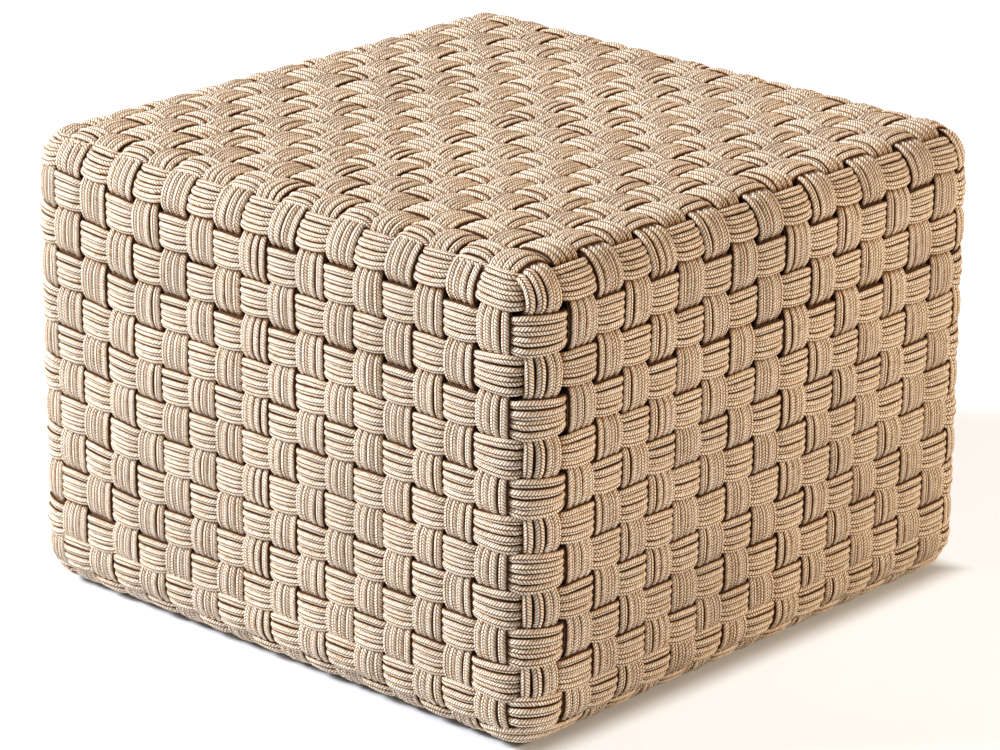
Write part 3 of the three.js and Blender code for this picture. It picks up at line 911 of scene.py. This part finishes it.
def make_gusset(corner, material, width, rng):
    """A three-cornered plate with eased edges, a hole for the foot and two weld beads."""
    outer, inner, tab = GUSSET_OUTER, GUSSET_INNER, GUSSET_OUTER - TUBE_WALL
    outline = [(outer, outer), (inner, outer), (inner, tab), (tab, inner), (outer, inner)]
    plate = bmesh.new()
    low = [plate.verts.new((x, y, GUSSET_LOW)) for x, y in outline]
    high = [plate.verts.new((x, y, GUSSET_HIGH)) for x, y in outline]
    plate.faces.new(low)
    plate.faces.new(high)
    for index in range(len(outline)):
        other = (index + 1) % len(outline)
        plate.faces.new((low[index], low[other], high[other], high[index]))
    bmesh.ops.recalc_face_normals(plate, faces=plate.faces)
    gusset = mesh_from(plate, "gusset", material)
    middle = np.array([FOOT_PLACE, FOOT_PLACE])
    hole = round_rod("hole", FOOT_HOLE_RADIUS, GUSSET_LOW - MM, GUSSET_HIGH + MM, middle, material)
    cut(gusset, hole)
    eased = bmesh.new()
    eased.from_mesh(gusset.data)
    edges = [edge for edge in eased.edges if edge.calc_face_angle(0.0) > BEVEL_ANGLE]
    bmesh.ops.bevel(eased, geom=edges, offset=PLATE_BEVEL, segments=2, affect="EDGES", clamp_overlap=True)
    eased.to_mesh(gusset.data)
    eased.free()
    rise = GUSSET_HIGH - BOTTOM_TUBE_HEIGHT
    seam = TUBE_PLACE - math.sqrt(TUBE_RADIUS**2 - rise**2)
    run = np.arange(inner + GUSSET_BEAD_INSET, seam - GUSSET_BEAD_INSET, BEAD_STEP)
    along_x = np.column_stack([run, np.full(len(run), seam), np.full(len(run), GUSSET_HIGH)])
    along_y = along_x[:, [1, 0, 2]]
    parts = [gusset]
    for number, (path, lean) in enumerate(((along_x, (0, -1, 1)), (along_y, (-1, 0, 1)))):
        outward = np.tile(np.array(lean, float), (len(path), 1))
        name = f"gusset_bead_{number}"
        parts.append(bead(name, path, outward, width * GUSSET_BEAD_WIDTH, rng, material, False))
    return to_corner(parts, corner)


def to_corner(parts, corner):
    """Turns parts that were made at the back right corner to another one."""
    for part in parts:
        part.data.transform(Matrix.Rotation(corner * math.pi / 2, 4, "Z"))
    return parts


def saddle(x, y, radius):
    """How far the skin of a hoop's corner stands above its middle, at a place beside the corner."""
    beside = np.where(x < y, y, x)
    return np.sqrt(np.maximum(radius**2 - beside**2, 0))


def make_post(name, corner, material, width, seed):
    """A tube cut round at its ends to fit the hoops, with a weld bead round each end."""
    rng = np.random.default_rng(seed)
    angles = circle_angles(TUBE_SIDES * 2)
    rings = []
    for radius, order in ((POST_RADIUS, 1), (POST_RADIUS - TUBE_WALL, -1)):
        x, y = radius * np.cos(angles), radius * np.sin(angles)
        reach = saddle(x, y, TUBE_RADIUS + POST_GAP)
        low = np.stack([x + TUBE_PLACE, y + TUBE_PLACE, BOTTOM_TUBE_HEIGHT + reach], -1)
        high = np.stack([x + TUBE_PLACE, y + TUBE_PLACE, TOP_TUBE_HEIGHT - reach], -1)
        rings += [low, high][::order]
    points, quads = loft(np.array(rings), True)
    parts = [mesh_object(name + "_tube", points, [quads], material)]
    x, y = POST_RADIUS * np.cos(angles), POST_RADIUS * np.sin(angles)
    reach = saddle(x, y, TUBE_RADIUS)
    ends = ((BOTTOM_TUBE_HEIGHT, 1), (TOP_TUBE_HEIGHT, -1))
    for number, (height, sign) in enumerate(ends):
        path = even_path(np.stack([x, y, sign * (reach + POST_BEAD_LIFT)], -1), BEAD_STEP, True)
        outward = unit(path * (1, 1, 0)) + (0, 0, sign * POST_BEAD_LEAN)
        path += (TUBE_PLACE, TUBE_PLACE, height)
        parts.append(bead(f"{name}_bead_{number}", path, outward, width, rng, material, True))
    return join(name, to_corner(parts, corner), material)


def make_foot(name, corner, material):
    """A moulded foot: grooved sole, round pad, neck, and a barbed pin through the gusset."""
    part = turned_solid(name + "_moulding", FOOT_OUTLINE, (FOOT_PLACE, FOOT_PLACE), FOOT_SIDES, material)
    return join(name, to_corner([part], corner), material)


# Materials

# Noise scales, per metre: fibres and flecks of the rope, grain of the coat and the feet, dust
FIBRE_SCALE = 2600.0
FLECK_SCALE = 1000.0
COAT_GRAIN = 1500.0
FOOT_GRAIN = 2200.0
SPECK_SCALE = 900.0
FLECK_DEPTH = 0.17
# Keeps the counts of columns and picks above zero
COLUMN_START = 100.0
PICK_START = 50.0
VALUE_SOCKET = "NodeSocketFloat"
COLOUR_SOCKET = "NodeSocketColor"


class NodeMaker:
    """Short ways to place and link shader nodes in one tree."""

    def __init__(self, tree):
        self.tree = tree

    def node(self, kind, **values):
        made = self.tree.nodes.new(kind)
        for key, value in values.items():
            setattr(made, key, value)
        return made

    def link(self, source, target):
        self.tree.links.new(source, target)

    def put(self, socket, value):
        if isinstance(value, bpy.types.NodeSocket):
            self.link(value, socket)
        elif value is not None:
            socket.default_value = value

    def math(self, operation, first, second=None, third=None, clamp=False):
        made = self.node("ShaderNodeMath", operation=operation, use_clamp=clamp)
        for socket, value in zip(made.inputs, (first, second, third)):
            self.put(socket, value)
        return made.outputs[0]

    def ramp(self, value, low, high, low_out=0.0, high_out=1.0):
        made = self.node("ShaderNodeMapRange", interpolation_type="SMOOTHSTEP")
        for socket, part in zip(made.inputs, (value, low, high, low_out, high_out)):
            self.put(socket, part)
        return made.outputs[0]

    def mix(self, factor, first, second):
        made = self.node("ShaderNodeMix", data_type="RGBA")
        self.put(made.inputs["Factor"], factor)
        self.put(made.inputs[6], first)
        self.put(made.inputs[7], second)
        return made.outputs[2]

    def colours(self, value, stops):
        """A colour picked along a row of colours."""
        node = self.node("ShaderNodeValToRGB")
        elements = node.color_ramp.elements
        while len(elements) < len(stops):
            elements.new(0.5)
        for element, (place, colour) in zip(elements, stops):
            element.position = place
            element.color = rgba(colour)
        self.put(node.inputs[0], value)
        return node.outputs[0]

    def noise(self, vector, scale, detail, roughness):
        made = self.node("ShaderNodeTexNoise")
        given = {"Vector": vector, "Scale": scale, "Detail": detail, "Roughness": roughness}
        for label, value in given.items():
            self.put(made.inputs[label], value)
        return made.outputs["Fac"]

    def apart(self, vector):
        made = self.node("ShaderNodeSeparateXYZ")
        self.link(vector, made.inputs[0])
        return made.outputs

    def object_place(self):
        return self.node("ShaderNodeTexCoord").outputs["Object"]


def rgba(colour):
    return (*colour, 1.0)


def new_group(name, inputs, outputs):
    """An empty shader group. Its inputs are given with their defaults, its outputs with their kinds."""
    tree = bpy.data.node_groups.new(name, "ShaderNodeTree")
    for label, default in inputs.items():
        kind = COLOUR_SOCKET if isinstance(default, tuple) else VALUE_SOCKET
        socket = tree.interface.new_socket(label, in_out="INPUT", socket_type=kind)
        socket.default_value = default
    for label, kind in outputs.items():
        tree.interface.new_socket(label, in_out="OUTPUT", socket_type=kind)
    maker = NodeMaker(tree)
    source = maker.node("NodeGroupInput")
    target = maker.node("NodeGroupOutput")
    return maker, source.outputs, target.inputs


def braid_group():
    """Braided cord: slanting strands that meet in a row of V shapes along the cord."""
    name = "Braided cord"
    if name in bpy.data.node_groups:
        return bpy.data.node_groups[name]
    maker, given, result = new_group(
        name,
        {"Along": 0.0, "Around": 0.0, "Pick Length": 2.4 * MM, "Columns": 2.0, "Slant": 1.4, "Cord": 0.5},
        dict.fromkeys(("Height", "Groove", "Strand Tone"), VALUE_SOCKET),
    )
    column = maker.math("MULTIPLY_ADD", given["Around"], given["Columns"], COLUMN_START)
    place = maker.math("FRACT", column)
    fold = maker.math("ABSOLUTE", maker.math("MULTIPLY_ADD", place, 2.0, -1.0))
    right = maker.math("GREATER_THAN", place, 0.5)
    picks = maker.math("DIVIDE", given["Along"], given["Pick Length"])
    slanted = maker.math("MULTIPLY_ADD", fold, given["Slant"], picks)
    staggered = maker.math("MULTIPLY_ADD", right, 0.5, slanted)
    phase = maker.math("FRACT", maker.math("ADD", staggered, PICK_START))
    across = maker.math("ABSOLUTE", maker.math("MULTIPLY_ADD", phase, 2.0, -1.0))
    square = maker.math("MULTIPLY", across, across)
    strand = maker.math("SQRT", maker.math("SUBTRACT", 1.0, square, clamp=True))
    inner = maker.ramp(fold, 0.0, 0.2)
    outer = maker.ramp(fold, 1.0, 0.82)
    meeting = maker.math("MULTIPLY", inner, outer)
    body = maker.math("MULTIPLY", strand, maker.math("MULTIPLY_ADD", meeting, 0.45, 0.55))
    maker.link(body, result["Height"])
    groove = maker.ramp(body, 0.86, 0.34)
    maker.link(groove, result["Groove"])
    pick = maker.math("FLOOR", maker.math("ADD", staggered, PICK_START))
    half_column = maker.math("FLOOR", maker.math("MULTIPLY", column, 2.0))
    joined = maker.node("ShaderNodeCombineXYZ")
    for socket, source in zip(joined.inputs, (pick, half_column, given["Cord"])):
        maker.link(source, socket)
    white = maker.node("ShaderNodeTexWhiteNoise", noise_dimensions="3D")
    maker.link(joined.outputs[0], white.inputs["Vector"])
    maker.link(white.outputs["Value"], result["Strand Tone"])
    return maker.tree


def weathering_group():
    """Dust, sun and handling: a colour shifted by slow mottling and by fine specks."""
    name = "Weathering"
    if name in bpy.data.node_groups:
        return bpy.data.node_groups[name]
    maker, given, result = new_group(
        name,
        {
            "Colour": (0.5, 0.5, 0.5, 1.0),
            "Dust Colour": (0.55, 0.5, 0.42, 1.0),
            "Dust": 0.2,
            "Mottling": 0.2,
            "Mottle Scale": 12.0,
        },
        {"Colour": COLOUR_SOCKET, "Dust Mask": VALUE_SOCKET},
    )
    where = maker.object_place()
    slow = maker.noise(where, given["Mottle Scale"], 3.0, 0.6)
    shift = maker.ramp(slow, 0.3, 0.7, -1.0, 1.0)
    amount = maker.math("MULTIPLY_ADD", shift, maker.math("MULTIPLY", given["Mottling"], 0.5), 1.0)
    lit = maker.node("ShaderNodeVectorMath", operation="SCALE")
    maker.link(given["Colour"], lit.inputs[0])
    maker.link(amount, lit.inputs["Scale"])
    normal = maker.node("ShaderNodeNewGeometry").outputs["Normal"]
    facing_up = maker.ramp(maker.apart(normal)["Z"], 0.0, 1.0, 0.35, 1.0)
    specks = maker.ramp(maker.noise(where, SPECK_SCALE, 2.0, 0.7), 0.5, 0.75)
    dust = maker.math("MULTIPLY", maker.math("MULTIPLY", specks, facing_up), given["Dust"])
    maker.link(maker.mix(dust, lit.outputs[0], given["Dust Colour"]), result["Colour"])
    maker.link(dust, result["Dust Mask"])
    return maker.tree


def empty_tree(owner):
    """The emptied node tree of a new material or world."""
    owner.use_nodes = True
    owner.node_tree.nodes.clear()
    return NodeMaker(owner.node_tree)


def new_material(name, **values):
    """A material with one surface shader, whose even values are given by name."""
    material = bpy.data.materials.new(name)
    maker = empty_tree(material)
    shader = maker.node("ShaderNodeBsdfPrincipled")
    output = maker.node("ShaderNodeOutputMaterial")
    maker.link(shader.outputs[0], output.inputs["Surface"])
    for key, value in values.items():
        shader.inputs[key.replace("_", " ")].default_value = value
    return material, maker, shader.inputs


def use_group(maker, group, **values):
    """Places a shader group with its own values and gives its outputs."""
    made = maker.node("ShaderNodeGroup", node_tree=group)
    for key, value in values.items():
        maker.put(made.inputs[key.replace("_", " ")], value)
    return made.outputs


def weathered(maker, colour, dust_colour, dust, mottling, mottle_scale):
    """The weathering group over a material's own colour."""
    return use_group(
        maker,
        weathering_group(),
        Colour=colour,
        Dust_Colour=rgba(dust_colour),
        Dust=dust,
        Mottling=mottling,
        Mottle_Scale=mottle_scale,
    )


def add_bump(maker, shader, relief, strength, depth):
    bump = maker.node("ShaderNodeBump")
    bump.inputs["Strength"].default_value = strength
    bump.inputs["Distance"].default_value = depth
    maker.link(relief, bump.inputs["Height"])
    maker.link(bump.outputs[0], shader["Normal"])


def rope_material(rope):
    """Braided rope: painted highlights on the crests, painted shade in the grooves, at the cords' sides and
    where a band dips under another.
    """
    name = "Braided outdoor rope"
    if name in bpy.data.materials:
        return bpy.data.materials[name]
    material, maker, shader = new_material(
        name,
        Sheen_Weight=0.05,
        Sheen_Roughness=0.5,
        Sheen_Tint=(1.0, 0.95, 0.88, 1.0),
        Specular_IOR_Level=0.2,
    )
    along, around, _ = maker.apart(maker.node("ShaderNodeUVMap", uv_map=BRAID_MAP).outputs[0])
    tone = maker.node("ShaderNodeAttribute", attribute_name=TONE).outputs["Fac"]
    braid = use_group(
        maker,
        braid_group(),
        Along=along,
        Around=around,
        Pick_Length=rope.pick_length,
        Columns=2.0,
        Slant=1.5,
        Cord=tone,
    )
    where = maker.object_place()
    fibre = maker.noise(where, FIBRE_SCALE, 2.0, 0.6)
    fleck = maker.ramp(maker.noise(where, FLECK_SCALE, 1.0, 0.5), 0.36, 0.64, -FLECK_DEPTH, FLECK_DEPTH)
    round_place = maker.math("MULTIPLY", around, 2 * math.pi)
    sidelong = maker.math("ABSOLUTE", maker.math("COSINE", round_place))
    # Painted highlight: lighter on the crown of each strand and on a cord's faces away from its sides. The
    # tones by strand and by cord, the fibres and the flecks are the rope's own.
    crest = maker.math("MULTIPLY", maker.ramp(braid["Height"], 0.55, 1.0), maker.ramp(sidelong, 0.8, 0.3))
    light = 0.5
    for source, amount in ((crest, 0.32), (braid["Strand Tone"], 0.22), (tone, 0.07), (fibre, 0.12)):
        light = maker.math("MULTIPLY_ADD", source, amount, light)
    light = maker.math("ADD", fleck, light)
    # Painted shade: darker at a cord's sides next to its neighbours, in the grooves between the braid's
    # strands, and where a band dips under another.
    dip = maker.node("ShaderNodeAttribute", attribute_name=DIP).outputs["Fac"]
    beside = maker.ramp(sidelong, 0.85, 0.98)
    under_band_shade = maker.ramp(dip, 0.26, 0.7, 0.0, 0.92)
    unshaded_share = maker.math("SUBTRACT", 1.0, maker.math("MAXIMUM", beside, braid["Groove"]))
    unshaded_share = maker.math("MULTIPLY", unshaded_share, maker.math("SUBTRACT", 1.0, under_band_shade))
    # Lightness to colour: the groove and shade colours are painted shade, the strand colour is the rope's
    # own, the crest colour is a painted highlight.
    stops = (
        (0.0, rope.groove_shade_colour),
        (0.43, rope.painted_shade_colour),
        (0.7, rope.strand_colour),
        (0.98, rope.crest_highlight_colour),
    )
    shades = maker.colours(maker.math("MULTIPLY", light, unshaded_share), stops)
    aged = weathered(maker, shades, (0.62, 0.55, 0.46), 0.1, 0.16, 14.0)
    maker.link(aged["Colour"], shader["Base Color"])
    maker.link(maker.ramp(braid["Groove"], 0.0, 1.0, 0.78, 0.95), shader["Roughness"])
    relief = maker.math("MULTIPLY_ADD", fibre, 0.18, braid["Height"])
    add_bump(maker, shader, relief, 0.9, 0.55 * MM)
    return material


def coat_material(settings):
    """Powder coat: fine grain, dust on what faces up, and rubbed edges."""
    name = "Reddish-brown powder coat"
    if name in bpy.data.materials:
        return bpy.data.materials[name]
    material, maker, shader = new_material(name, Metallic=0.15, Coat_Weight=0.1, Coat_Roughness=0.3)
    where = maker.object_place()
    aged = weathered(maker, rgba(settings.coat_colour), (0.42, 0.36, 0.29), 0.22, 0.22, 22.0)
    edge = maker.node("ShaderNodeNewGeometry").outputs["Pointiness"]
    worn = maker.math("MULTIPLY", maker.ramp(edge, 0.53, 0.6), 0.35)
    maker.link(maker.mix(worn, aged["Colour"], (0.36, 0.2, 0.12, 1.0)), shader["Base Color"])
    grain = maker.noise(where, COAT_GRAIN, 2.0, 0.5)
    dusty = maker.math("MULTIPLY", aged["Dust Mask"], 0.8)
    maker.link(maker.math("ADD", maker.ramp(grain, 0.3, 0.7, 0.4, 0.52), dusty), shader["Roughness"])
    add_bump(maker, shader, grain, 0.25, 0.15 * MM)
    return material


def foot_material(settings):
    """Matt moulded plastic with a fine grain, mottled and dusty."""
    name = "Moulded dark foot"
    if name in bpy.data.materials:
        return bpy.data.materials[name]
    material, maker, shader = new_material(name)
    where = maker.object_place()
    aged = weathered(maker, rgba(settings.foot_colour), (0.3, 0.27, 0.23), 0.3, 0.3, 60.0)
    maker.link(aged["Colour"], shader["Base Color"])
    grain = maker.noise(where, FOOT_GRAIN, 3.0, 0.6)
    maker.link(maker.ramp(grain, 0.3, 0.7, 0.5, 0.7), shader["Roughness"])
    add_bump(maker, shader, grain, 0.3, 0.12 * MM)
    return material


def dress(piece, node):
    """Attaches a piece to the root body and hides the imported solid that it stands for."""
    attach(piece, "root")
    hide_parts(node)


# First random seeds of the bands, the hoops and the posts
SEED_RANGE = 1000
CROSSWISE_SEED = 100
RING_SEED = 200
HOOP_SEEDS = 71, 72
POST_SEED = 80


def build_bands(scene, family, count, first_seed, make, **ways):
    """The bands of one family, each in the place of its own solid."""
    rope = scene.footstool_rope
    weave = Weave(rope)
    for index in range(count):
        name = f"{family}_{index + 1:02d}"
        seed = rope.seed * SEED_RANGE + first_seed + index
        piece = make(weave, "rope_" + name, index, rope_material(rope), seed, **ways)
        dress(piece, "rope_band_" + name)


# Operators, one for each piece or group of like pieces


class FOOTSTOOL_OT_lengthwise_bands(bpy.types.Operator):
    """Build the rope bands that run from front to back"""

    bl_idname = "footstool.lengthwise_bands"
    bl_label = "Front to Back Bands"

    def execute(self, context):
        build_bands(context.scene, "front_back", BAND_COUNT, 0, make_arch)
        return {"FINISHED"}


class FOOTSTOOL_OT_crosswise_bands(bpy.types.Operator):
    """Build the rope bands that run from side to side"""

    bl_idname = "footstool.crosswise_bands"
    bl_label = "Side to Side Bands"

    def execute(self, context):
        build_bands(context.scene, "side_side", BAND_COUNT, CROSSWISE_SEED, make_arch, crosswise=True)
        return {"FINISHED"}


class FOOTSTOOL_OT_ring_bands(bpy.types.Operator):
    """Build the closed rope bands round the four sides"""

    bl_idname = "footstool.ring_bands"
    bl_label = "Round Bands"

    def execute(self, context):
        build_bands(context.scene, "round", RING_COUNT, RING_SEED, make_ring)
        return {"FINISHED"}


class FOOTSTOOL_OT_frame(bpy.types.Operator):
    """Build the two welded tube hoops and the four corner posts"""

    bl_idname = "footstool.frame"
    bl_label = "Tube Frame"

    def execute(self, context):
        settings = context.scene.footstool_frame
        coat = coat_material(settings)
        width = settings.weld_radius
        top = make_hoop("welded_top_hoop", TOP_TUBE_HEIGHT, False, coat, width, HOOP_SEEDS[0])
        bottom = make_hoop("welded_bottom_hoop", BOTTOM_TUBE_HEIGHT, True, coat, width, HOOP_SEEDS[1])
        dress(top, "top_hoop")
        dress(bottom, "bottom_hoop")
        for corner, name in enumerate(CORNERS):
            post = make_post("welded_post_" + name, corner, coat, width, POST_SEED + corner)
            dress(post, "corner_post_" + name)
        return {"FINISHED"}


class FOOTSTOOL_OT_feet(bpy.types.Operator):
    """Build the four moulded feet"""

    bl_idname = "footstool.feet"
    bl_label = "Feet"

    def execute(self, context):
        plastic = foot_material(context.scene.footstool_frame)
        for corner, name in enumerate(CORNERS):
            dress(make_foot("moulded_foot_" + name, corner, plastic), "foot_" + name)
        return {"FINISHED"}


# The stage

CAMERA_PLACE = (2.0865, -2.2930, 1.2604)
CAMERA_TURN = math.radians(42.34)
CAMERA_TILT = math.radians(19.53)
CAMERA_ROLL = math.radians(0.50)
CAMERA_LENS = 156.8
SENSOR_WIDTH = 36
CLIP_END = 50
FLOOR_HALF = 6.0
# Glow of the floor as the camera sees it, and where it fades out round the footstool
FLOOR_GLOW = 0.6
GLOW_START = HALF_WIDTH - 20 * MM
GLOW_FULL = HALF_WIDTH + 10 * MM
SKY_COLOUR = (1.0, 0.85, 0.68)
# Name, share of the key power, width, place and colour of each lamp
LAMPS = (
    ("key_lamp", 1.0, 1.1, (-2.2, -2.3, 2.25), (0.96, 0.965, 1.0)),
    ("side_lamp", 0.26, 0.5, (2.5, 1.4, 1.2), (1.0, 0.8, 0.6)),
)
LAMP_TARGET = (0, 0, 0.2)


def add_lamp(name, power, size, place, colour):
    lamp = bpy.data.lights.new(name, "AREA")
    lamp.energy = power
    lamp.shape = "DISK"
    lamp.size = size
    lamp.color = colour
    thing = place_object(name, lamp)
    thing.location = place
    direction = Vector(LAMP_TARGET) - Vector(place)
    thing.rotation_euler = direction.to_track_quat("-Z", "Y").to_euler()


def seen_white(maker, level):
    """A glow that only what is seen or mirrored picks up: it lights nothing."""
    path = maker.node("ShaderNodeLightPath").outputs
    seen = maker.math("MAXIMUM", path["Is Camera Ray"], path["Is Glossy Ray"])
    seen = maker.math("MAXIMUM", seen, path["Is Transmission Ray"])
    return maker.math("MULTIPLY", seen, level)


class FOOTSTOOL_OT_stage(bpy.types.Operator):
    """Set up the pale floor, the lamps and the camera"""

    bl_idname = "footstool.stage"
    bl_label = "Stage"

    def execute(self, context):
        settings = context.scene.footstool_stage
        self.add_floor(settings)
        self.add_world(settings)
        self.add_lamps(settings)
        self.add_camera()
        context.scene.view_settings.view_transform = "Standard"
        return {"FINISHED"}

    def add_floor(self, settings):
        material = bpy.data.materials.new("Studio floor")
        maker = empty_tree(material)
        diffuse = maker.node("ShaderNodeBsdfDiffuse")
        diffuse.inputs["Color"].default_value = rgba(settings.floor_colour)
        glow = maker.node("ShaderNodeEmission")
        x, y, _ = maker.apart(maker.object_place())
        reach = maker.math("MAXIMUM", maker.math("ABSOLUTE", x), maker.math("ABSOLUTE", y))
        open_floor = maker.ramp(reach, GLOW_START, GLOW_FULL)
        strength = maker.math("MULTIPLY", seen_white(maker, FLOOR_GLOW), open_floor)
        maker.link(strength, glow.inputs["Strength"])
        both = maker.node("ShaderNodeAddShader")
        maker.link(diffuse.outputs[0], both.inputs[0])
        maker.link(glow.outputs[0], both.inputs[1])
        output = maker.node("ShaderNodeOutputMaterial")
        maker.link(both.outputs[0], output.inputs["Surface"])
        half = FLOOR_HALF
        points = np.array([(-half, -half, 0), (half, -half, 0), (half, half, 0), (-half, half, 0)])
        floor = mesh_object("studio_floor", points, [np.array([[0, 1, 2, 3]])], material, smooth=False)

    def add_world(self, settings):
        world = bpy.data.worlds.new("Studio")
        maker = empty_tree(world)
        even = maker.node("ShaderNodeBackground")
        even.inputs["Color"].default_value = rgba(SKY_COLOUR)
        even.inputs["Strength"].default_value = settings.world_level
        white = maker.node("ShaderNodeBackground")
        white.inputs["Strength"].default_value = 1.0
        mixer = maker.node("ShaderNodeMixShader")
        maker.link(seen_white(maker, 1.0), mixer.inputs[0])
        maker.link(even.outputs[0], mixer.inputs[1])
        maker.link(white.outputs[0], mixer.inputs[2])
        output = maker.node("ShaderNodeOutputWorld")
        maker.link(mixer.outputs[0], output.inputs["Surface"])
        bpy.context.scene.world = world

    def add_lamps(self, settings):
        for name, share, size, place, tint in LAMPS:
            add_lamp(name, settings.key_power * share, size, place, tint)

    def add_camera(self):
        data = bpy.data.cameras.new("photo_camera")
        data.lens = CAMERA_LENS
        data.sensor_width = SENSOR_WIDTH
        data.sensor_fit = "HORIZONTAL"
        data.clip_end = CLIP_END
        camera = place_object("photo_camera", data)
        sin, cos = math.sin(CAMERA_TURN), math.cos(CAMERA_TURN)
        back = Vector((sin * math.cos(CAMERA_TILT), -cos * math.cos(CAMERA_TILT), math.sin(CAMERA_TILT)))
        level = Vector((cos, sin, 0))
        upright = back.cross(level)
        right = level * math.cos(CAMERA_ROLL) + upright * math.sin(CAMERA_ROLL)
        up = back.cross(right)
        turn = Matrix((right, up, back)).transposed().to_4x4()
        camera.matrix_world = Matrix.Translation(CAMERA_PLACE) @ turn
        bpy.context.scene.camera = camera


class FOOTSTOOL_PT_panel(bpy.types.Panel):
    """Builds the footstool step by step"""

    bl_label = "Woven Rope Footstool"
    bl_idname = "FOOTSTOOL_PT_panel"
    bl_space_type = "VIEW_3D"
    bl_region_type = "UI"
    bl_category = "Footstool"

    def draw(self, context):
        for settings in SETTINGS:
            box = self.layout.box()
            group = getattr(context.scene, settings)
            for name in group.__annotations__:
                box.prop(group, name)
        for operator in OPERATORS:
            self.layout.operator(operator.bl_idname)


SETTINGS = {
    "footstool_rope": RopeSettings,
    "footstool_frame": FrameSettings,
    "footstool_stage": StageSettings,
}
OPERATORS = (
    FOOTSTOOL_OT_lengthwise_bands,
    FOOTSTOOL_OT_crosswise_bands,
    FOOTSTOOL_OT_ring_bands,
    FOOTSTOOL_OT_frame,
    FOOTSTOOL_OT_feet,
    FOOTSTOOL_OT_stage,
)


def register():
    for settings in SETTINGS.values():
        bpy.utils.register_class(settings)
    for name, settings in SETTINGS.items():
        setattr(bpy.types.Scene, name, PointerProperty(type=settings))
    for operator in OPERATORS:
        bpy.utils.register_class(operator)
    bpy.utils.register_class(FOOTSTOOL_PT_panel)


def unregister():
    bpy.utils.unregister_class(FOOTSTOOL_PT_panel)
    for operator in reversed(OPERATORS):
        bpy.utils.unregister_class(operator)
    for name in SETTINGS:
        delattr(bpy.types.Scene, name)
    for settings in SETTINGS.values():
        bpy.utils.unregister_class(settings)


def main():
    register()
    bpy.ops.footstool.lengthwise_bands()
    bpy.ops.footstool.crosswise_bands()
    bpy.ops.footstool.ring_bands()
    bpy.ops.footstool.frame()
    bpy.ops.footstool.feet()
    bpy.ops.footstool.stage()


if __name__ == "__main__":
    main()
